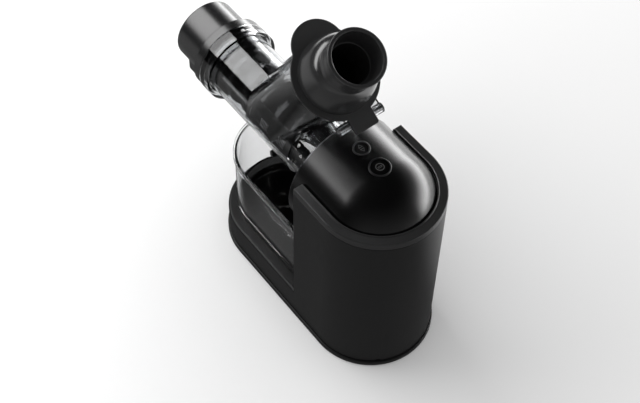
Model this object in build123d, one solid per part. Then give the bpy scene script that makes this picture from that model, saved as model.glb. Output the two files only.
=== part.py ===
from build123d import *
import math
import os

# Horizontal cold press juicer.  Millimetres, +Z up.  A stadium-shaped motor column stands at the
# rear (+Y) of a low base; the clear juicing drum reaches forward (-Y) from it over the container.
# Stations along Y are measured from the middle of the base; the last section moves everything so
# that the origin is under the middle of the whole machine.

# ---------------------------------------------------------------- driving dimensions
# base and column
shell_radius = 70.0             # rounded ends of the body shell
end_spacing = 78.0              # from the middle of the base to the centre of either rounded end
base_margin = 2.0               # base plate beyond the shell, all round
foot_stand = 2.0                # floor to underside of the base plate
base_thickness = 5.2
base_edge_radius = 1.2
groove_height = 1.8             # shadow groove between base plate and body shell
groove_inset = 3.0
shell_wall = 2.8
shell_edge_radius = 0.5         # edges beside the seams
locating_rim_height = 4.0
locating_rim_wall = 2.0
plinth_height = 44.0            # top of the low front part, on which the container stands
plinth_edge_radius = 2.6
column_front = 27.3             # front face of the column
ledge_rise = 34.0               # flat rim round the dome, above the drive axis
ledge_lap = 3.0                 # depth of the rebate in which the foot of the dome sits
ledge_shelf = 2.6               # shelf under the foot of the dome
trim_height = 8.4
trim_edge_radius = 1.3
trim_rib_height = 4.0
trim_rib_wall = 2.0
trim_seam = 0.4
seam_inset = 0.6
bead_width = 1.5                # raised lip of the ledge, next to the dome
bead_height = 1.0
bead_edge_radius = 0.7
bead_setback = 1.6              # front end of the lip, behind the front of the column
bead_corner = 1.2
pry_notch_angle = 59.0          # notch in the foot of the shell, from +X towards the rear
pry_notch_width = 4.6
pry_notch_height = 2.4
# dome and front ring
drum_height = 204.0             # height of the drum and drive axis
dome_inset = 3.5                # dome inside the outline of the shell
dome_wall = 2.8
dome_front = 15.6               # front edge of the dome, ahead of the column
chin_drop = 54.0                # flat underside of the dome ahead of the column, below the drive axis
ring_width = 2.4
ring_depth = 1.6
ring_edge_radius = 0.6
socket_plate_recess = 4.0       # front plate behind the front edge of the ring
socket_plate_thickness = 2.6
socket_depth = 13.5
socket_wall = 2.5
# drum
tube_radius = 38.5
tube_bore = 35.7
neck_radius = 36.0
chamber_bore = 33.6             # bore that holds the strainer
collar_radius = 45.7
collar_front = -178.5
collar_rear = -163.0
collar_hollow_radius = 41.9
collar_hollow_depth = 8.0
chamber_front = -100.0          # bore changes from the tube bore to the chamber bore
tube_rear = -26.0               # outside changes from the tube radius to the neck radius
drum_flange_radius = 50.0
drum_flange_thickness = 3.0
drum_end_wall = 3.0
rail_height = 7.0
rail_stand = 2.2
rib_height = 1.2
rib_width = 1.6
rib_lead = 4.0                  # ribs begin behind the skirt of the cap
rib_angles = (25, 155, 215, 325)
rail_lead = 14.0                # rails begin ahead of the neck
drum_seal_wall = 3.0
# hopper, in its own tilted frame
hopper_tilt = 30.67             # from upright, leaning back over the column
plate_centre_y = 3.6
plate_centre_rise = 137.3       # lid centre above the drive axis
hopper_rim_radius = 42.8
hopper_rim_height = 4.2
hopper_mouth_radius = 42.0
hopper_wall = 3.2
hopper_mouth_step = 0.4         # straight mouth wider than the tapered inside
hopper_foot_depth = 118.0       # below the lid, where the section has become the foot section
hopper_foot_half_width = 39.2
hopper_foot_front = 42.0
hopper_foot_rear = 26.0
hopper_foot_front_corner = 27.0
hopper_foot_rear_corner = 13.0
hopper_foot_reach = 60.0        # foot section carried on down into the drum
hopper_corner_step = 0.2        # corner radius of the round mouth, less than half its width
# lid and chute
lid_radius = 45.9
lid_thickness = 2.6
lobe_radius = 28.4
lobe_offset = 31.3
tab_half_width = 14.2
tab_reach = 60.5
lobe_blend = 7.0
tab_corner = 3.0
lid_skirt_radius = 37.6
lid_skirt_wall = 1.8
lid_skirt_depth = 6.0
lid_gasket_thickness = 0.9
lid_gasket_edge = 0.4           # ring inside the edge of the rim
lid_gasket_setback = 0.6        # and behind the wall of the mouth
lid_gasket_squeeze = 0.1
bell_radius = 39.9
bell_crease_radius = 28.2
bell_crease_height = 34.5
chute_waist_radius = 27.0
chute_waist_height = 43.0
chute_mouth_radius = 29.6
chute_mouth_bore = 25.3
chute_height = 60.5
bell_edge = 1.3                 # upright edge at the foot of the bell
bell_shoulder_radius = 37.3
bell_shoulder_height = 17.5
bell_web_drop = 9.0             # inside of the bell meets the feed tube below the crease
chute_lip = 2.2
chute_lip_step = 0.8
chute_lip_slope = 0.6
chute_mouth_chamfer = 0.6
chute_mouth_lead = 1.2
chute_step_bore = 21.4
chute_step_height = 37.5
chute_bore = 20.6
chute_wall = 2.2
bell_wall = 2.4
splash_guard_radius = 27.0
splash_guard_thickness = 1.0
splash_guard_slits = 6
splash_guard_slit_width = 0.5
splash_guard_slit_inner = 2.0
splash_guard_slit_margin = 1.0  # slits stop inside the bore of the chute
# lid hinge
hinge_reach = 48.9              # behind the lid centre, along the lid
hinge_drop = 6.0                # below the top of the lid
knuckle_radius = 5.0
lug_radius = 5.2
lug_inner = 14.6
lug_outer = 26.6
lug_web_reach = 12.0            # webs of the ears inside the rim of the hopper
lug_web_top = 0.6               # top of the webs above the pin
hinge_pin_radius = 2.0
# strainer and auger
strainer_wall = 0.8
strainer_front = -99.0
strainer_rear = -24.0
strainer_window_half_width = 22.0
strainer_front_band = 5.0       # closed bands ahead of the window and behind it
strainer_rear_band = 6.0
strainer_slot_lead = 8.0
strainer_slot_columns = 5
strainer_slot_pitch = 13.0
strainer_slot_length = 9.0
strainer_slot_width = 1.4
strainer_slot_angles = (190, 205, 220, 235, 250, 270, 290, 305, 320, 335, 350)
auger_radius = 32.0
auger_pitch = 26.0
auger_flight_arc = 80.0         # degrees of each cross-section that the flight fills
auger_front = -192.0
auger_rear = -22.0
auger_core_front = 23.0
auger_core_rear = 13.0
auger_tail_radius = 7.0
auger_journal_radius = 6.0
auger_journal_front = -228.0
auger_nose = 18.0
auger_shoulder = 3.0            # step from the journal to the nose
auger_foot_spread = 1.25        # arc of the flight at the core, to its arc at the tip
auger_foot_sink = 2.0           # root of the flight inside the core
auger_disc_step = 1.5           # rear disc inside the flight
auger_disc_gap = 2.3            # ahead of the rear wall of the drum
drive_hex = 9.6                 # across flats
drive_hex_reach = 11.0
drive_hex_end_gap = 2.0
# juice spout and rotary drip stop
spout_station = -74.0
spout_radius = 14.0
spout_drop = 51.2               # underside of the spout below the drive axis
spout_wall = 2.4
spout_floor = 2.6
spout_hole_radius = 4.8
spout_hole_offset = 6.6
drip_stop_radius = 19.0
drip_stop_floor = 2.2
drip_stop_height = 11.0
drip_grip_reach = 6.0
drip_grip_half_width = 2.5
drip_grip_margin = 2.0
drip_stop_edge = 1.4
trough_half_width = 12.0
trough_depth = 2.4
trough_lead = 18.0              # trough ahead of the middle of the spout
trough_rear = -36.0
# end cap
cap_radius = 37.4
cap_front = -235.0
cap_edge_radius = 1.6
cap_wall = 3.0
cap_flange_radius = 45.2
cap_flange_length = 10.3
cap_gasket_thickness = 0.7
cap_gasket_radius = 42.2
cap_skirt_reach = 24.0
cap_skirt_wall = 1.1
pulp_half_width = 28.0
pulp_front = -229.0
pulp_rear = -200.0
pulp_drop = 43.0                # mouth of the pulp outlet below the drive axis
pulp_wall = 2.4
bush_radius = 9.0
bush_length = 9.0
bush_seat_wall = 2.4
# container
container_side_inset = 8.6      # rim inside the outline of the shell
container_headroom = 8.3        # rim below the chin of the dome
container_rim_thickness = 4.0
container_rim_edge = 0.8
container_wall = 2.4
container_lip = 1.9
container_end_inset = 0.7       # rounded front behind the rounded end of the shell
container_gap = 5.3             # rear wall ahead of the column
container_step_height = 15.5
container_step_inset = 2.4
container_floor = 3.0
# buttons
power_station = 76.6
power_bezel_radius = 11.6
reverse_station = 47.2
reverse_bezel_radius = 9.1
bezel_width = 1.4
bezel_stand = 1.1
bezel_sleeve_step = 0.7
bezel_seat = 1.2
bezel_sleeve_reach = 1.6
button_crown = 0.5
button_travel = 1.2
button_rim = 1.0
button_rim_thickness = 1.4
button_rim_gap = 0.1
button_stem_radius = 3.0
button_recess = 0.3             # cap below the edge of its bezel
bezel_edge_radius = 0.6
# gear train
motor_module = 0.8
motor_pinion_teeth = 17
first_wheel_teeth = 85
output_module = 1.5
idler_pinion_teeth = 17
output_wheel_teeth = 51
motor_thinning = 0.10           # backlash taken off each tooth at the pitch circle
output_thinning = 0.16
gearbox_front = 38.0
gearbox_wall = 3.0
gearbox_length = 31.0
gearbox_margin = 5.0
gearbox_pillar_radius = 3.6
gearbox_pillar_gap = 0.6        # between a screw pillar and the wheel beside it
gearbox_ear_wall = 0.8
gearbox_screw_grip = 7.0
cover_post_radius = 4.0
cover_post_side = 30.0
cover_post_drop = 35.0
motor_pinion_housing = 18.0
output_wheel_front = 46.0
output_wheel_width = 9.0
first_wheel_front = 57.6
first_wheel_width = 6.0
output_shaft_radius = 9.0
output_tail_radius = 6.0
output_end_gap = 0.5
output_nose_gap = 1.6           # behind the rear wall of the drum
pinion_side_step = 0.5          # small wheels wider than their mates, either side
layshaft_radius = 3.0
motor_shaft_radius = 2.5
bearing_wall = 4.5
bearing_width = 5.0
bearing_seat_wall = 2.2
layshaft_boss_wall = 3.0
layshaft_seat = 1.5
seal_wall = 4.0
seal_recess = 0.1
# motor
motor_radius = 34.0
motor_length = 54.0
motor_wall = 2.0
motor_face = 2.5
motor_end_wall = 3.0
motor_vent_count = 6
motor_vent_radius = 5.0
motor_vent_reach = 20.0
rotor_radius = 21.5
rotor_slot_count = 12
rotor_slot_radius = 1.6
rotor_slot_depth = 2.4
stator_gap = 0.6
stator_front_space = 8.0        # field and armature behind the front of the can
stator_rear_space = 14.0        # and ahead of its rear end
winding_slot_count = 6
winding_slot_radius = 3.0
winding_slot_reach = 6.0
commutator_radius = 8.0
commutator_length = 10.0
brush_width = 6.0
brush_length = 5.0
brush_rear_space = 6.0
brush_gap = 0.3
brush_holder_gap = 0.4
fan_radius = 27.0
fan_blades = 9
fan_gap = 5.0
fan_disc = 1.2
fan_rim_width = 1.5
fan_rim_height = 1.6
fan_hub_radius = 7.0
fan_hub_length = 6.0
fan_blade_height = 5.0
fan_blade_thickness = 1.6
fan_blade_sink = 2.0            # blade inside the hub
fan_blade_inset = 1.0           # and inside the rim
cradle_half_width = 27.0
cradle_web_half_width = 24.0
cradle_margin = 6.0
cradle_thickness = 3.0
cradle_web_inset = 10.0
cradle_web_thickness = 5.0
cradle_seat_drop = 20.0         # top of the webs below the motor axis
cradle_spine_thickness = 3.0
cradle_spine_gap = 4.0
# controls inside
board_drop = 10.7               # board below the inside of the dome
board_thickness = 1.6
board_half_width = 21.0
board_front = 38.0
board_rear = 88.0
board_boss_radius = 2.6
board_boss_side = 4.0
board_boss_end = 5.0
switch_height = 3.6
switch_half_width = 6.0
switch_play = 0.2
relay_half_width = 9.0
relay_front = 72.0
relay_rear = 86.0
relay_height = 3.4
capacitor_radius = 2.4
capacitor_height = 3.2
capacitor_side = 16.0
capacitor_station = 82.0
# small parts
foot_radius = 9.0
foot_recess = 2.4
foot_edge = 0.6
foot_side_inset = 30.0          # foot centres inside the outline of the base plate
foot_end_inset = 38.0
screw_side_inset = 28.0         # base screws inside the outline of the base plate
screw_end_inset = 54.0
screw_hole_play = 0.2
screw_head_play = 0.3
screw_head_depth = 0.4
screw_boss_wall = 1.2
screw_wing_thickness = 2.0
vent_count = 8
vent_front = 30.0
vent_pitch = 8.0
vent_width = 3.2
vent_half_length = 26.0
screw_radius = 1.6
screw_head_radius = 3.0
screw_head_height = 2.0
screw_length = 9.0
cord_inlet_height = 22.0
cord_inlet_station = 62.0
cord_inlet_radius = 7.0
cord_inlet_bore = 3.6
cord_inlet_flange = 1.8
cord_inlet_stand = 0.6
cord_flange_thickness = 2.4
# clearances
running_fit = 0.05
seal_fit = 0.06
slip_fit = 0.3
face_gap = 0.3
through = 1.0                   # extra length of a cutting tool past a face

# ---------------------------------------------------------------- derived places
base_radius = shell_radius + base_margin
ledge_height = drum_height + ledge_rise
chin_height = drum_height - chin_drop
spout_bottom = drum_height - spout_drop
pulp_bottom = drum_height - pulp_drop
plate_centre_z = drum_height + plate_centre_rise
hopper_mouth_bore = hopper_mouth_radius - hopper_wall + hopper_mouth_step
base_bottom = foot_stand
base_top = base_bottom + base_thickness
shell_bottom = base_top + groove_height
column_top = ledge_height - trim_height - trim_seam
inner_radius = shell_radius - shell_wall
dome_radius = shell_radius - dome_inset
dome_inner = dome_radius - dome_wall
dome_seat = ledge_height - ledge_lap
dome_seat_radius = math.sqrt(dome_radius ** 2 - (dome_seat - drum_height) ** 2)
ledge_opening = dome_seat_radius + face_gap
board_height = drum_height + dome_inner - board_drop
board_top = board_height + board_thickness
ring_front = dome_front - ring_depth
plate_front = ring_front + socket_plate_recess
socket_front = plate_front + socket_plate_thickness
socket_floor = socket_front + socket_depth
socket_back = socket_floor + socket_wall
socket_bore = neck_radius + slip_fit
drum_flange_front = plate_front - face_gap - drum_flange_thickness
drum_rear = socket_floor - face_gap
drum_wall_front = drum_rear - drum_end_wall
strainer_radius = chamber_bore - slip_fit
strainer_bore = strainer_radius - strainer_wall
stage_two_distance = output_module * (idler_pinion_teeth + output_wheel_teeth) / 2
stage_one_distance = motor_module * (motor_pinion_teeth + first_wheel_teeth) / 2
idler_height = drum_height - stage_two_distance
motor_height = idler_height - stage_one_distance
output_wheel_radius = output_module * output_wheel_teeth / 2
first_wheel_radius = motor_module * first_wheel_teeth / 2
gearbox_back = gearbox_front + gearbox_length
layshaft_rear = gearbox_back - gearbox_wall / 3
motor_front = gearbox_back
motor_back = motor_front + motor_length
motor_bush_radius = motor_shaft_radius + bearing_wall
stack_front = motor_front + stator_front_space
stack_rear = motor_back - stator_rear_space
fan_front = motor_back + fan_gap
output_nose = drum_rear + output_nose_gap
seal_front = socket_floor + seal_recess
cap_flange_rear = collar_front - cap_gasket_thickness
cap_flange_front = cap_flange_rear - cap_flange_length
cap_bore = cap_radius - cap_wall
cap_skirt_radius = tube_bore - slip_fit
container_rim_radius = shell_radius - container_side_inset
container_height = chin_height - container_headroom
container_end_spacing = end_spacing - container_end_inset
container_rear = column_front - container_gap
cap_reach = -cap_front
base_reach = end_spacing + base_radius
frame_shift = (cap_reach - base_reach) / 2

lid_plane = Plane(
    origin=(0, plate_centre_y, plate_centre_z),
    x_dir=(1, 0, 0),
    z_dir=(0, math.sin(math.radians(hopper_tilt)), math.cos(math.radians(hopper_tilt))),
)


# ---------------------------------------------------------------- shape helpers
def axial_plane(station, side=0.0, height=drum_height):
    """Plane that faces the rear, centred on the drive axis unless told otherwise."""
    return Plane(origin=(side, station, height), x_dir=(1, 0, 0), z_dir=(0, 1, 0))


def rod(radius, front, rear, side=0.0, height=drum_height):
    """Solid cylinder along Y between two stations."""
    return extrude(axial_plane(front, side, height) * Circle(radius), amount=rear - front)


def tube(outer, inner, front, rear, side=0.0, height=drum_height):
    """Hollow cylinder along Y between two stations."""
    return rod(outer, front, rear, side, height) - rod(inner, front - through, rear + through, side, height)


def post(radius, bottom, top, side=0.0, station=0.0):
    """Upright cylinder between two heights."""
    return extrude(Plane.XY.offset(bottom) * Pos(side, station) * Circle(radius), amount=top - bottom)


def block(x_low, x_high, y_low, y_high, z_low, z_high):
    """Box between two corners."""
    centre = Pos((x_low + x_high) / 2, (y_low + y_high) / 2, (z_low + z_high) / 2)
    return centre * Box(x_high - x_low, y_high - y_low, z_high - z_low)


def stadium(radius, spacing=end_spacing):
    """Outline with rounded ends, long way along Y."""
    return Rot(0, 0, 90) * SlotCenterToCenter(2 * spacing, 2 * radius)


def stadium_block(radius, bottom, top):
    """Stadium outline pulled up between two heights."""
    return extrude(Plane.XY.offset(bottom) * stadium(radius), amount=top - bottom)


def inlet_rod(radius, start, end):
    """Solid cylinder along the cord inlet, between two distances to the -X side."""
    plane = Plane(origin=(-start, cord_inlet_station, cord_inlet_height), x_dir=(0, 1, 0), z_dir=(-1, 0, 0))
    return extrude(plane * Circle(radius), amount=end - start)


def boss_outline(inset=0.0):
    """Round front of the dome, cut flat at the chin, on the rear-facing plane."""
    radius = dome_radius - inset
    low = drum_height - chin_height - inset
    return Circle(radius) & (Pos(0, low - radius) * Rectangle(4 * radius, 2 * radius))


def boss_block(inset, front, rear):
    """The boss outline pulled back between two stations."""
    return extrude(axial_plane(front) * boss_outline(inset), amount=rear - front)


def hinge_plane(side):
    """Plane that faces +X on the lid hinge, at a distance to the side."""
    return Plane(lid_plane.location * Pos(side, hinge_reach, -hinge_drop) * Rot(0, 90, 0))


def one(part):
    """The single solid of a part, so that each node stays one piece."""
    solids = part.solids()
    return max(solids, key=lambda solid: solid.volume)


def gear(module, teeth, front, width, height, thinning, first_tooth):
    """Involute spur gear along Y; first_tooth is the angle of one tooth, 90 pointing down."""
    pressure = math.radians(20)
    pitch = module * teeth / 2
    base = pitch * math.cos(pressure)
    tip = pitch + module
    root = pitch - 1.25 * module
    start = max(base, root)

    def involute(radius):
        angle = math.acos(min(1.0, base / radius))
        return math.tan(angle) - angle

    half_pitch_angle = (math.pi * module / 2 - thinning) / (2 * pitch)

    def half_angle(radius):
        return half_pitch_angle + involute(pitch) - involute(radius)

    def at(radius, angle):
        return Vector(radius * math.cos(angle), radius * math.sin(angle), 0)

    flank = [start + (tip - start) * (step / 4) ** 1.5 for step in range(5)]
    edges = []
    step_angle = 2 * math.pi / teeth
    for index in range(teeth):
        middle = math.radians(first_tooth) + index * step_angle
        rising = [at(radius, middle - half_angle(radius)) for radius in flank]
        falling = [at(radius, middle + half_angle(radius)) for radius in reversed(flank)]
        foot_in = at(root, middle - half_angle(start))
        foot_out = at(root, middle + half_angle(start))
        next_foot = at(root, middle + step_angle - half_angle(start))
        if start - root > 0.01:
            edges.append(Line(foot_in, rising[0]))
        edges.append(Spline(*rising))
        edges.append(ThreePointArc(rising[-1], at(tip, middle), falling[0]))
        edges.append(Spline(*falling))
        if start - root > 0.01:
            edges.append(Line(falling[-1], foot_out))
            root_start = foot_out
        else:
            root_start = falling[-1]
            next_foot = at(start, middle + step_angle - half_angle(start))
        edges.append(ThreePointArc(root_start, at(min(root, start), middle + step_angle / 2), next_foot))
    outline = make_face(edges)
    return extrude(axial_plane(front, 0, height) * outline, amount=width)


def hexagon_bar(across_flats, front, rear):
    """Hexagonal bar on the drive axis."""
    outline = RegularPolygon(across_flats / 2, 6, major_radius=False)
    return extrude(axial_plane(front) * outline, amount=rear - front)


def screw_up(side, station, bottom):
    """Pan-head screw driven upwards; bottom is the underside of its head."""
    head = post(screw_head_radius, bottom, bottom + screw_head_height, side, station)
    return head + post(screw_radius, bottom, bottom + screw_head_height + screw_length, side, station)


# ---------------------------------------------------------------- base and housing
screw_side = base_radius - screw_side_inset
screw_end = base_reach - screw_end_inset
screw_places = [(x, y) for x in (-screw_side, screw_side) for y in (-screw_end, 0.0, screw_end)]
foot_side = base_radius - foot_side_inset
foot_end = base_reach - foot_end_inset
foot_places = [(x, y) for x in (-foot_side, foot_side) for y in (-foot_end, foot_end)]
vent_rows = [vent_front + vent_pitch * index for index in range(vent_count)]


def base_plate():
    """Bottom plate with the raised step that makes the groove and locates the shell."""
    plate = stadium_block(base_radius, base_bottom, base_top)
    plate = fillet(plate.edges().group_by(Axis.Z)[-1], base_edge_radius)
    plate += stadium_block(shell_radius - groove_inset, base_top, shell_bottom)
    rim_radius = inner_radius - slip_fit
    rim = stadium_block(rim_radius, shell_bottom, shell_bottom + locating_rim_height)
    rim -= stadium_block(rim_radius - locating_rim_wall, shell_bottom - through,
                         shell_bottom + locating_rim_height + through)
    plate += rim
    for x, y in foot_places:
        plate -= post(foot_radius + slip_fit / 2, base_bottom - through, base_bottom + foot_recess, x, y)
    for x, y in screw_places:
        plate -= post(screw_radius + screw_hole_play, base_bottom - through, shell_bottom + through, x, y)
        plate -= post(screw_head_radius + screw_head_play, base_bottom - through,
                      base_bottom + screw_head_height + screw_head_depth, x, y)
    for y in vent_rows:
        plate -= block(-vent_half_length, vent_half_length, y, y + vent_width, base_bottom - through,
                       shell_bottom + through)
    return plate


def rubber_feet():
    """Four soft feet pressed into the recesses of the base plate."""
    feet = []
    for x, y in foot_places:
        foot = post(foot_radius, 0, base_bottom + foot_recess, x, y)
        feet.append(fillet(foot.edges().group_by(Axis.Z)[0], foot_edge))
    return feet


def base_screws():
    """Screws that hold the base plate to the posts of the shell."""
    return [screw_up(x, y, base_bottom + screw_head_depth) for x, y in screw_places]


def column_outline(inset=0.0):
    """Outline of the column: rounded rear, straight sides, flat front."""
    front = column_front + inset
    keep = Pos(0, front + base_reach) * Rectangle(4 * base_radius, 2 * base_reach)
    return stadium(shell_radius - inset) & keep


def body_shell():
    """Column and low front plinth in one moulding, open underneath and at the top."""
    plinth = stadium_block(shell_radius, shell_bottom, plinth_height)
    plinth = fillet(plinth.edges().group_by(Axis.Z)[-1], plinth_edge_radius)
    plinth = fillet(plinth.edges().group_by(Axis.Z)[0], shell_edge_radius)
    column_bottom = plinth_height / 2
    column = extrude(Plane.XY.offset(column_bottom) * column_outline(), amount=column_top - column_bottom)
    column = fillet(column.edges().group_by(Axis.Z)[-1], shell_edge_radius)
    shell = plinth + column
    shell -= stadium_block(inner_radius, shell_bottom - through, plinth_height - shell_wall)
    hollow_bottom = plinth_height - shell_wall - through
    hollow = extrude(Plane.XY.offset(hollow_bottom) * column_outline(shell_wall), amount=column_top)
    shell -= hollow
    socket_hole = socket_bore + socket_wall + slip_fit
    shell -= rod(socket_hole, column_front - through, column_front + shell_wall + through)
    shell -= inlet_rod(cord_inlet_radius, shell_radius - 2 * shell_wall, shell_radius + through)
    shell -= pry_notch()
    for x, y in screw_places:
        top = plinth_height - shell_wall if y < column_front else plinth_height
        boss = post(screw_head_radius + screw_boss_wall, shell_bottom, top, x, y)
        boss -= post(screw_radius, shell_bottom - through, shell_bottom + screw_length, x, y)
        shell += boss
    for x, y in screw_places:
        if y > column_front:
            side = math.copysign(inner_radius, x)
            wing_bottom = shell_bottom + locating_rim_height + face_gap
            half = screw_wing_thickness / 2
            wing = block(min(x, side), max(x, side), y - half, y + half, wing_bottom, plinth_height)
            wing &= stadium_block(shell_radius - shell_wall / 2, wing_bottom, plinth_height)
            shell += wing - post(screw_radius, shell_bottom - through, shell_bottom + screw_length, x, y)
    return shell


def pry_notch():
    """Tool for the small notch in the foot of the shell by which the base plate is prised off."""
    half = pry_notch_width / 2
    notch = block(inner_radius - shell_wall, shell_radius + through, -half, half,
                  shell_bottom - through, shell_bottom + pry_notch_height)
    return Pos(0, end_spacing) * Rot(0, 0, pry_notch_angle) * notch


def top_trim():
    """Separate band that closes the column and makes the flat ledge round the dome."""
    bottom = ledge_height - trim_height
    band = extrude(Plane.XY.offset(bottom) * column_outline(), amount=trim_height)
    band = fillet(band.edges().group_by(Axis.Z)[-1], trim_edge_radius)
    band = fillet(band.edges().group_by(Axis.Z)[0], shell_edge_radius)
    band += ledge_bead()
    band -= stadium_block(ledge_opening, ledge_height - ledge_lap, ledge_height + 2 * bead_height)
    band -= stadium_block(ledge_opening - ledge_shelf, bottom - through, ledge_height)
    # rib that drops inside the column wall
    rib_bottom = bottom - trim_rib_height
    rib_outline = column_outline(shell_wall + slip_fit / 2)
    rib = extrude(Plane.XY.offset(rib_bottom) * rib_outline, amount=trim_rib_height)
    rib -= stadium_block(inner_radius - slip_fit / 2 - trim_rib_wall, rib_bottom - through, bottom + through)
    rib -= block(-base_radius, base_radius, 0, column_front + 2 * shell_wall, 0, 2 * ledge_height)
    return band + rib


def ledge_bead():
    """Raised lip along the inner edge of the ledge, with rounded front ends."""
    reach = 2 * base_reach
    front = column_front + bead_setback
    outline = stadium(ledge_opening + bead_width) & (Pos(0, front + reach / 2) * Rectangle(reach, reach))
    bead = extrude(Plane.XY.offset(ledge_height - bead_height) * outline, amount=2 * bead_height)
    bead = fillet(bead.edges().filter_by(Axis.Z).group_by(Axis.Y)[0], bead_corner)
    return fillet(bead.edges().group_by(Axis.Z)[-1], bead_edge_radius)


def seam_band():
    """Dark shim that shows as the fine seam under the trim band."""
    outline = column_outline(seam_inset) - column_outline(shell_wall)
    outline -= Pos(0, column_front) * Rectangle(4 * base_radius, 2 * shell_wall + slip_fit)
    return extrude(Plane.XY.offset(column_top) * outline, amount=trim_seam)


def button_holes():
    """Tools that open the dome for the two button bezels, each with a flat seat."""
    holes = []
    far_up = drum_height + 2 * dome_radius
    for y, radius in ((power_station, power_bezel_radius), (reverse_station, reverse_bezel_radius)):
        holes.append(post(radius - bezel_sleeve_step, drum_height, far_up, 0, y))
        holes.append(post(radius + running_fit, drum_height + dome_radius - bezel_seat, far_up, 0, y))
    return holes


def dome_cover():
    """Half capsule over the column, carried forward as a round boss with a flat chin."""
    outer = rod(dome_radius, dome_front, end_spacing) + Pos(0, end_spacing, drum_height) * Sphere(dome_radius)
    inner = rod(dome_inner, dome_front - through, end_spacing)
    inner += Pos(0, end_spacing, drum_height) * Sphere(dome_inner)
    wide = 2 * base_radius
    top = block(-wide, wide, dome_front - through, 2 * base_reach, dome_seat, 2 * ledge_height)
    front = block(-wide, wide, dome_front - through, column_front, chin_height, 2 * ledge_height)
    shell = (outer - inner) & (top + front)
    chin = boss_block(0.0, dome_front, column_front)
    chin -= boss_block(dome_wall, dome_front - through, 2 * column_front)
    shell += chin
    for hole in button_holes():
        shell -= hole
    boss_side = board_half_width - board_boss_side
    for x in (-boss_side, boss_side):
        for y in (board_front + board_boss_end, board_rear - board_boss_end):
            boss = post(board_boss_radius, board_top, drum_height + dome_inner, x, y)
            shell += boss & rod(dome_inner + dome_wall / 2, board_front, board_rear)
    return shell


def front_ring():
    """Bright ring on the front edge of the dome."""
    ring = boss_block(0.0, ring_front, dome_front)
    ring -= boss_block(ring_width, ring_front - through, dome_front + through)
    return fillet(ring.edges().group_by(Axis.Y)[0], ring_edge_radius)


def drive_socket():
    """Front plate inside the ring, with the blind socket that takes the neck of the drum."""
    plate = boss_block(dome_wall + running_fit, plate_front, socket_front)
    plate += rod(socket_bore + socket_wall, plate_front, socket_back)
    plate -= rod(socket_bore, plate_front - through, socket_floor)
    plate -= rod(output_shaft_radius + seal_wall, socket_floor - through, socket_back + through)
    return plate


def cord_inlet():
    """Bare grommet through the -X side of the shell where the supply cord would enter."""
    inside = shell_radius - shell_wall
    flange_start = inside - slip_fit - cord_flange_thickness
    grommet = inlet_rod(cord_inlet_radius - running_fit, flange_start, shell_radius + cord_inlet_stand)
    grommet += inlet_rod(cord_inlet_radius + cord_inlet_flange, flange_start, inside - slip_fit)
    return grommet - inlet_rod(cord_inlet_bore, flange_start - through, shell_radius + 2 * through)


# ---------------------------------------------------------------- buttons and controls
def bezel(station, radius):
    """Ring round a button: a flange on the dome and a sleeve through it."""
    top = drum_height + dome_radius + bezel_stand
    bottom = drum_height + dome_inner - bezel_sleeve_reach
    ring = post(radius, drum_height + dome_radius - bezel_seat, top, 0, station)
    ring = fillet(ring.edges().group_by(Axis.Z)[-1], bezel_edge_radius)
    ring += post(radius - bezel_sleeve_step - running_fit, bottom, top - bezel_stand, 0, station)
    return ring - post(radius - bezel_width, bottom - through, top + through, 0, station)


def button(station, radius):
    """Round cap, held from below by its wider rim, with a stem down to its switch."""
    face_radius = radius - bezel_width - slip_fit
    sleeve_bottom = drum_height + dome_inner - bezel_sleeve_reach
    top = drum_height + dome_radius + bezel_stand - button_recess
    rim_top = sleeve_bottom - button_rim_gap
    rim_bottom = rim_top - button_rim_thickness
    cap = post(face_radius, rim_bottom, top, 0, station)
    cap = fillet(cap.edges().group_by(Axis.Z)[-1], button_crown)
    cap += post(face_radius + button_rim, rim_bottom, rim_top, 0, station)
    stem_bottom = board_top + switch_height + button_travel + switch_play
    return cap + post(button_stem_radius, stem_bottom, rim_top, 0, station)


def control_board():
    """Printed circuit board that hangs from the dome."""
    return block(-board_half_width, board_half_width, board_front, board_rear,
                 board_height, board_top)


def tact_switches():
    """One switch under each button."""
    half = switch_half_width
    return [block(-half, half, y - half, y + half, board_top, board_top + switch_height)
            for y in (power_station, reverse_station)]


def board_parts():
    """Relay and capacitors under the board."""
    relay = block(-relay_half_width, relay_half_width, relay_front, relay_rear,
                  board_height - relay_height, board_height)
    capacitors = [post(capacitor_radius, board_height - capacitor_height, board_height, x, capacitor_station)
                  for x in (-capacitor_side, capacitor_side)]
    return [relay] + capacitors


# ---------------------------------------------------------------- gearbox and motor
def gearbox_outline(inset=0.0):
    """Rounded outline round both gear stages, drawn about the drive axis, down is +Y here."""
    outline = Circle(output_wheel_radius + output_module + gearbox_margin - inset)
    first_wheel_space = first_wheel_radius + motor_module + gearbox_margin
    outline += Pos(0, drum_height - idler_height) * Circle(first_wheel_space - inset)
    return outline + Pos(0, drum_height - motor_height) * Circle(motor_pinion_housing - inset)


def gearbox_with_ears():
    """Gearbox outline with an ear round each screw."""
    outline = gearbox_outline()
    for x, z in gearbox_screw_places():
        outline += Pos(x, drum_height - z) * Circle(gearbox_pillar_radius + gearbox_ear_wall)
    return outline


def gearbox_cover():
    """Front half of the gearbox, with the seat of the front output bearing."""
    cover = extrude(axial_plane(gearbox_front) * gearbox_with_ears(), amount=gearbox_wall)
    seat = output_shaft_radius + bearing_wall
    cover += rod(seat + bearing_seat_wall, gearbox_front, gearbox_front + bearing_width)
    cover -= rod(seat, gearbox_front - through, gearbox_front + 2 * bearing_width)
    for x, z in gearbox_screw_places():
        cover -= rod(screw_radius + screw_hole_play, gearbox_front - through,
                     gearbox_front + 2 * gearbox_wall, x, z)
    post_height = drum_height - cover_post_drop
    for x in (-cover_post_side, cover_post_side):
        cover += rod(cover_post_radius, column_front + shell_wall, gearbox_front, x, post_height)
    return cover


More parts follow.
